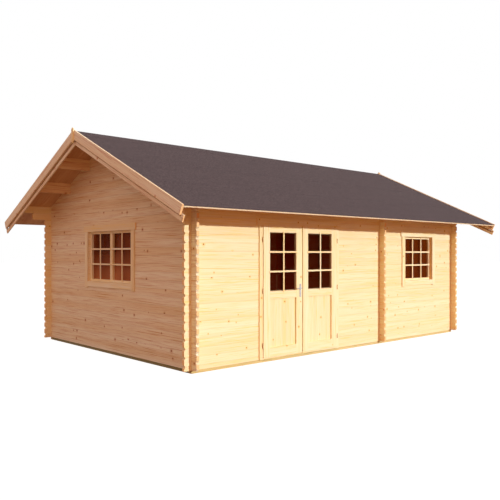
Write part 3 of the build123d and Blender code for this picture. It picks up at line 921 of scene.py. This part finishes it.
@dataclass
class DoorLeaf:
    """One leaf of the double door: glazed above, boarded below."""

    side: str
    body: Body
    plank: float = 0.0965
    bead: float = 0.012
    bead_halving: float = 0.001
    bead_bevel: float = 0.003
    joint_bevel: float = 0.0018

    def build(self) -> None:
        """Dresses the leaf and adds its bars, boards and beads."""
        low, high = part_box(f"{self.side}_door_glass")
        joinery = Timber(f"{self.side}_leaf_joinery", Grain.UPRIGHT, rails=((low.x, high.x),), knots=0.35)
        dress(made(joinery), f"{self.side}_door_frame")
        dress(made(Pane()), f"{self.side}_door_glass")
        upright = made(Timber("bar_upright", Grain.UPRIGHT, knots=0.1))
        flat = made(Timber("bar_flat", Grain.ALONG_WALL, knots=0.1))
        bars = Workpiece(f"{self.side}_door_bars")
        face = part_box("left_door_frame")[0].y
        Grille(columns=2, rows=3, recess=low.y - face).lay(bars, 0, low, high, upright, flat)
        # The beads that hold the pane from inside the room.
        start, stop = Vector((low.x, high.y, low.z)), Vector((high.x, high.y + self.bead, high.z))
        bars.surround(0, start, stop, self.bead, (upright, flat), (0.0, self.bead_halving), self.bead_bevel)
        bars.finish(self.body, Stock.TIMBER)
        self.panel()

    def panel(self) -> None:
        """Boards the lower panel with upright planks that meet in V joints."""
        low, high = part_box(f"{self.side}_door_panel")
        finish = made(Timber("panel_plank", Grain.UPRIGHT, knots=0.3))
        piece = Workpiece(f"{self.side}_door_planks")
        for near, far in shares(low.x, high.x, self.plank):
            piece.board((near, low.y, low.z), (far, high.y, high.z), finish, self.joint_bevel)
        piece.finish(self.body, Stock.TIMBER, (f"{self.side}_door_panel",))


@dataclass
class Windows:
    """The front window and the pair of sashes in the left gable."""

    member: float = 0.038
    casing: float = 0.095
    header: float = 0.105
    ear: float = 0.040
    apron: float = 0.090
    tail: float = 0.022
    bevel: float = 0.003  # of the casings

    def build(self) -> None:
        """Dresses the windows and adds their sashes, bars and casings."""
        # The sash glass carries painted shade of the room, painted light at the foot of each pane and a painted
        # reflection in the gable.
        glass = Pane("sash_glass", tint=rgb(104, 42, 4), painted_lit_foot=rgb(102, 42, 8), clearness=0.25,
                     painted_gable_reflection=rgb(204, 132, 82))
        dress(made(glass), "window_glass")
        # Painted light: the linings are coloured paler than the wall timber to lighten their deep, shaded
        # reveals.
        dress(made(Timber("window_lining", Grain.ALONG_WALL, pale=rgb(255, 244, 206), warm=rgb(255, 236, 190),
                          knots=0.1)), "window_frames")
        self.sashes()
        self.casings()

    @staticmethod
    def finishes(across: int) -> tuple[Material, Material]:
        """Makes the finishes of a window's members.

        Args:
            across: The direction along the wall: 0 for a long wall and 1 for a gable.

        Returns:
            The finish of the uprights and of the level members.
        """
        # The gable window's members take the painted gable shade tone.
        if across:
            return (made(Timber("gable_member_upright", Grain.UPRIGHT_GABLE, knots=0.15, **PAINTED_GABLE_SHADE_TONE)),
                    made(Timber("gable_member_flat", Grain.ALONG_GABLE, knots=0.15, **PAINTED_GABLE_SHADE_TONE)))
        tone = {"warm": rgb(253, 235, 182), "knots": 0.15}
        return (made(Timber("member_upright", Grain.UPRIGHT, **tone)),
                made(Timber("member_flat", Grain.ALONG_WALL, **tone)))

    def sashes(self) -> None:
        """Makes each sash of two stiles and two rails, with its grilles."""
        sashes, bars = Workpiece("sash_members"), Workpiece("window_bars")
        pairs = zip(solid_boxes("window_sashes"), solid_boxes("window_glass"))
        for (low, high), (pane_low, pane_high) in pairs:
            across = gable_side(low, high)
            finishes = self.finishes(across)
            sashes.surround(across, low, high, self.member, finishes, (self.member, 0.0))
            grille = Grille(columns=2 if across else 3, rows=3, recess=pane_low[1 - across] - low[1 - across])
            grille.lay(bars, across, pane_low, pane_high, *finishes)
        sashes.finish(Body.CABIN, Stock.TIMBER, ("window_sashes",))
        bars.finish(Body.CABIN, Stock.TIMBER)

    def casings(self) -> None:
        """Makes each window's casing of two uprights, a header with ears and an apron."""
        piece = Workpiece("window_casing_boards")
        for low, high in solid_boxes("window_casings"):
            across = gable_side(low, high)
            upright, flat = self.finishes(across)
            header_foot, apron_foot = high.z - self.header, low.z + self.tail
            left, right = low[across] + self.ear, high[across] - self.ear
            light_left, light_right = left + self.casing, right - self.casing
            boards = (((low[across], high[across]), (header_foot, high.z), flat),
                      ((left, light_left), (low.z, header_foot), upright),
                      ((light_right, right), (low.z, header_foot), upright),
                      ((light_left, light_right), (apron_foot, apron_foot + self.apron), flat))
            for width, height, finish in boards:
                piece.slat(across, width, (low[1 - across], high[1 - across]), height, finish, self.bevel)
        piece.finish(Body.CABIN, Stock.TIMBER, ("window_casings",))


@dataclass
class Doorway:
    """The door's lining, casings, hinges and handle."""

    trim_bevel: float = 0.003
    grip: float = 0.012  # thickness of the lever's arms
    grip_bevel: float = 0.0052
    spindle: float = 0.007
    plate_bevel: float = 0.0016
    collar: float = 0.0105
    collar_length: float = 0.006
    collar_bevel: float = 0.0015
    screw: float = 0.0036
    screw_length: float = 0.0024
    screw_bevel: float = 0.0006
    screw_inset: float = 0.014
    screw_sides: int = 12
    barrel: float = 0.0085  # of the lock
    barrel_length: float = 0.004
    barrel_bevel: float = 0.001
    barrel_out: float = 0.001  # how far its middle lies outside the plate
    barrel_drop: float = 0.072  # under the spindle
    keyway: Point = (0.001, 0.0022, 0.005)  # half its width, depth and height
    cap: float = 0.0072
    cap_height: float = 0.004
    cap_bevel: float = 0.0015
    cap_sides: int = 16
    cap_inset: float = 1.11  # of its middle in the hinge's box, in radii of the cap

    def build(self) -> None:
        """Dresses the doorway's fixed parts and makes its trim and ironmongery."""
        upright = made(Timber("lining_upright", Grain.UPRIGHT, knots=0.3))
        flat = made(Timber("lining_flat", Grain.ALONG_WALL, knots=0.3))
        dress(upright, "door_jambs")
        dress(flat, "door_head", "door_sill")
        self.trim(upright, flat)
        zinc = Steel("hinge_zinc", rgb(232, 198, 146), rgb(196, 156, 104), roughness=0.5, metal=0.6)
        self.zinc, self.steel = made(zinc), made(Steel("handle_steel", roughness=0.22))
        dress(self.zinc, "frame_hinges", "left_door_hinges", "right_door_hinges")
        self.hinge_caps()
        self.lever()
        self.plates()

    def trim(self, upright: Material, flat: Material) -> None:
        """Makes the casings and the header with eased edges.

        Args:
            upright: The casings' finish.
            flat: The header's finish.
        """
        piece = Workpiece("door_trim")
        for name, finish in (("door_casings", upright), ("door_header", flat)):
            for low, high in solid_boxes(name):
                piece.board(low, high, finish, self.trim_bevel)
        piece.finish(Body.CABIN, Stock.TIMBER, ("door_casings", "door_header"))

    def hinge_caps(self) -> None:
        """Adds a domed cap to the top and foot of every hinge."""
        rows = (("left_door_hinges", Body.LEFT_DOOR), ("right_door_hinges", Body.RIGHT_DOOR),
                ("frame_hinges", Body.CABIN))
        leaf_edge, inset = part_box("left_door_frame")[0].x, self.cap * self.cap_inset
        for name, body in rows:
            piece = Workpiece(f"{name}_caps")
            for low, high in solid_boxes(name):
                middle = low.x + inset if low.x < leaf_edge else high.x - inset
                height = low.z - self.cap_height / 2 if body is Body.CABIN else high.z + self.cap_height / 2
                piece.rod(Vector((middle, low.y + inset, height)), Vector((0, 0, 1)), self.cap,
                          self.cap_height, self.zinc, self.cap_bevel, self.cap_sides)
            piece.finish(body, Stock.STEEL)

    def axis(self) -> Vector:
        """The middle of the lever's spindle."""
        low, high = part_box("left_door_lever")
        return Vector((high.x - self.spindle, (low.y + high.y) / 2, (low.z + high.z) / 2))

    def lever(self) -> None:
        """Makes the lever handle: two rounded grips on one spindle."""
        low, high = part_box("left_door_lever")
        axis = self.axis()
        piece = Workpiece("lever_handle")
        piece.rod(axis, Vector((0, 1, 0)), self.spindle, high.y - low.y - self.grip, self.steel)
        for face in (low.y, high.y - self.grip):
            piece.board((low.x, face, low.z), (high.x, face + self.grip, high.z), self.steel, self.grip_bevel)
        piece.finish(Body.LEVER, Stock.STEEL, ("left_door_lever",))

    def plates(self) -> None:
        """Makes the handle's two plates, with their collars, screws and lock."""
        axis = self.axis()
        piece = Workpiece("handle_plates")
        # Painted shade: a black keyway stands in for the dark hollow of the keyhole.
        painted_keyhole_shade = made(Steel("keyway", rgb(40, 38, 36), rgb(24, 22, 21), roughness=0.6, metal=0.5))
        for low, high in solid_boxes("left_door_handle_plates"):
            outwards = -1 if low.y < axis.y else 1
            face = low.y if outwards < 0 else high.y
            way = Vector((0, outwards, 0))
            piece.board(low, high, self.steel, self.plate_bevel)
            middle = (low.x + high.x) / 2
            piece.rod(Vector((middle, face + outwards * self.collar_length / 2, axis.z)), way, self.collar,
                      self.collar_length, self.steel, self.collar_bevel)
            lock = Vector((middle, face + outwards * self.barrel_out, axis.z - self.barrel_drop))
            piece.rod(lock, way, self.barrel, self.barrel_length, self.steel, self.barrel_bevel)
            piece.board(lock - Vector(self.keyway), lock + Vector(self.keyway), painted_keyhole_shade, 0.0)
            for height in (low.z + self.screw_inset, high.z - self.screw_inset):
                piece.rod(Vector((middle, face, height)), way, self.screw, self.screw_length, self.zinc,
                          self.screw_bevel, self.screw_sides)
        piece.finish(Body.LEFT_DOOR, Stock.STEEL, ("left_door_handle_plates",))


@dataclass
class Fixings:
    """Screw heads along the bargeboards and the casings."""

    radius: float = 0.0042
    height: float = 0.0016
    sides: int = 10
    pitch: float = 0.55
    inset: float = 0.03
    rise: float = 0.038  # of the bargeboard's top over the underside of the roof boards
    upright_middle: float = 0.0875  # from the end of a window casing's header
    free: float = 0.14  # a casing's height less the stretch between its end screws
    two_rows: float = 0.3  # a casing wider than this has two uprights

    def build(self, roof: Roof) -> None:
        """Sets the screws.

        Args:
            roof: The roof whose bargeboards are screwed on.
        """
        zinc = made(Steel("screw_zinc", rgb(206, 178, 130), rgb(160, 130, 88), roughness=0.45, metal=0.8))
        piece = Workpiece("fixings")
        low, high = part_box("bargeboards_front")
        foot, top = -roof.bargeboard_drop + self.inset, self.rise - self.inset
        count = round(roof.length / self.pitch)
        for side in (-1, 1):
            slope = roof.on_slope(side)
            for place in range(count):
                down = (place + 0.5) * roof.length / count
                for face, way in ((low.x, -1), (high.x, 1)):
                    for over in (foot, top):
                        piece.rod(slope @ Vector((face, down, over)), Vector((way, 0, 0)), self.radius,
                                  self.height, zinc, 0.0, self.sides)
        for name in ("door_casings", "window_casings"):
            for start, stop in solid_boxes(name):
                self.on_casing(piece, start, stop, zinc)
        piece.finish(Body.CABIN, Stock.STEEL)

    def on_casing(self, piece: Workpiece, low: Vector, high: Vector, finish: Material) -> None:
        """Sets screws up both sides of a casing.

        Args:
            piece: The piece that takes the screws.
            low: The casing's lowest corner.
            high: The casing's highest corner.
            finish: The screws' finish.
        """
        across = gable_side(low, high)
        start, stop = low[across], high[across]
        rows = (start + self.upright_middle, stop - self.upright_middle)
        if stop - start <= self.two_rows:
            rows = ((start + stop) / 2,)
        way = Vector((-1, 0, 0)) if across else Vector((0, -1, 0))
        count = max(2, round((high.z - low.z) / self.pitch))
        for row in rows:
            for place in range(count):
                spot = low + Vector((0, 0, self.inset + place * (high.z - low.z - self.free) / (count - 1)))
                spot[across] = row
                piece.rod(spot, way, self.radius, self.height, finish, 0.0, self.sides)


# ---------------------------------------------------------------- studio
@dataclass
class Studio:
    """A pale floor, soft light and the camera."""

    ambient_front: Colour = (0.90, 0.52, 0.47)
    ambient_back: Colour = (0.64, 0.47, 0.48)
    ambient_turn: Span = (-0.4, 0.4)  # where the one turns into the other
    sun_colour: Colour = (0.76, 0.86, 1.0)
    sun_power: float = 3.14
    sun_way: Point = (-0.33, 0.90, -0.252)  # the way the light travels
    sun_softness: float = math.radians(1.6)
    floor_colour: Colour = rgb(146, 108, 84)
    floor_glow: Colour = (0.92, 0.97, 0.98)
    floor_reach: float = 90.0
    eye: Point = (-4.993, -6.723, 1.653)  # from the left gable's and the front wall's outer faces
    lens: float = 43.95
    sensor: float = 36.0
    far_end: float = 200.0
    heading: float = math.radians(-41.475)
    shift: Span = (0.0133, 0.0063)

    def build(self) -> None:
        """Sets up the whole studio."""
        bpy.context.scene.view_settings.view_transform = "Standard"
        self.camera()
        self.lights()
        self.floor()
        log.info("studio set")

    def camera(self) -> None:
        """Places the camera."""
        data = bpy.data.cameras.new("camera")
        data.sensor_width, data.lens, data.clip_end = self.sensor, self.lens, self.far_end
        data.shift_x, data.shift_y = self.shift
        corner = Vector((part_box("left_gable_under_window")[0].x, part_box("front_wall_under_window")[0].y, 0))
        eye = put("camera", data)
        eye.location = corner + Vector(self.eye)
        eye.rotation_euler = (math.radians(90), 0, self.heading)
        bpy.context.scene.camera = eye

    def lights(self) -> None:
        """Makes the sun and the world's even light."""
        data = bpy.data.lights.new("sun", "SUN")
        data.energy, data.color, data.angle = self.sun_power, self.sun_colour, self.sun_softness
        sun = put("sun", data)
        sun.rotation_mode = "QUATERNION"
        sun.rotation_quaternion = Vector(self.sun_way).to_track_quat("-Z", "Y")
        world = bpy.data.worlds.new("studio")
        bpy.context.scene.world = world
        graph = Graph(world)
        facing = graph.band(graph.split(graph.reading("Generated"))[1], *self.ambient_turn)
        colours = (graph.stain(facing, self.ambient_front, self.ambient_back), (1.0, 1.0, 1.0))
        even, white = (graph.node("Background", {"Color": colour}).outputs[0] for colour in colours)
        choice = graph.node("MixShader", {0: self.seen(graph), 1: even, 2: white}).outputs[0]
        graph.node("OutputWorld", {"Surface": choice})

    @staticmethod
    def seen(graph: Graph) -> NodeSocket:
        """1 for rays by which the camera, glass or metal sees a surface.

        Args:
            graph: The nodes that ask.

        Returns:
            The result's socket.
        """
        rays = graph.node("LightPath").outputs
        seen = graph.calc("MAXIMUM", rays["Is Camera Ray"], rays["Is Glossy Ray"])
        return graph.calc("MAXIMUM", seen, rays["Is Transmission Ray"])

    def floor(self) -> None:
        """Makes the pale floor, which keeps the cabin's shadow."""
        mesh = bmesh.new()
        bmesh.ops.create_grid(mesh, x_segments=1, y_segments=1, size=self.floor_reach)
        data = bpy.data.meshes.new("floor")
        mesh.to_mesh(data)
        mesh.free()
        graph = Surface("studio_floor")
        glow = graph.node("Emission", {"Color": self.floor_glow, "Strength": self.seen(graph)})
        both = graph.node("AddShader", {0: graph.shader.outputs[0], 1: glow.outputs[0]})
        graph.feed(graph.output.inputs["Surface"], both.outputs[0])
        data.materials.append(graph.done(self.floor_colour, 0.9, Specular_IOR_Level=0.0))
        floor = put("floor", data)


def main() -> None:
    """Builds the cabin's looks, one sub-assembly after another."""
    logging.basicConfig(level=logging.INFO, format="%(name)s: %(message)s")
    roof = Roof()
    LogWalls().build()
    Floor().build()
    roof.build()
    Doorway().build()
    DoorLeaf("left", Body.LEFT_DOOR).build()
    DoorLeaf("right", Body.RIGHT_DOOR).build()
    Windows().build()
    Fixings().build(roof)
    Studio().build()


if __name__ == "__main__":
    main()
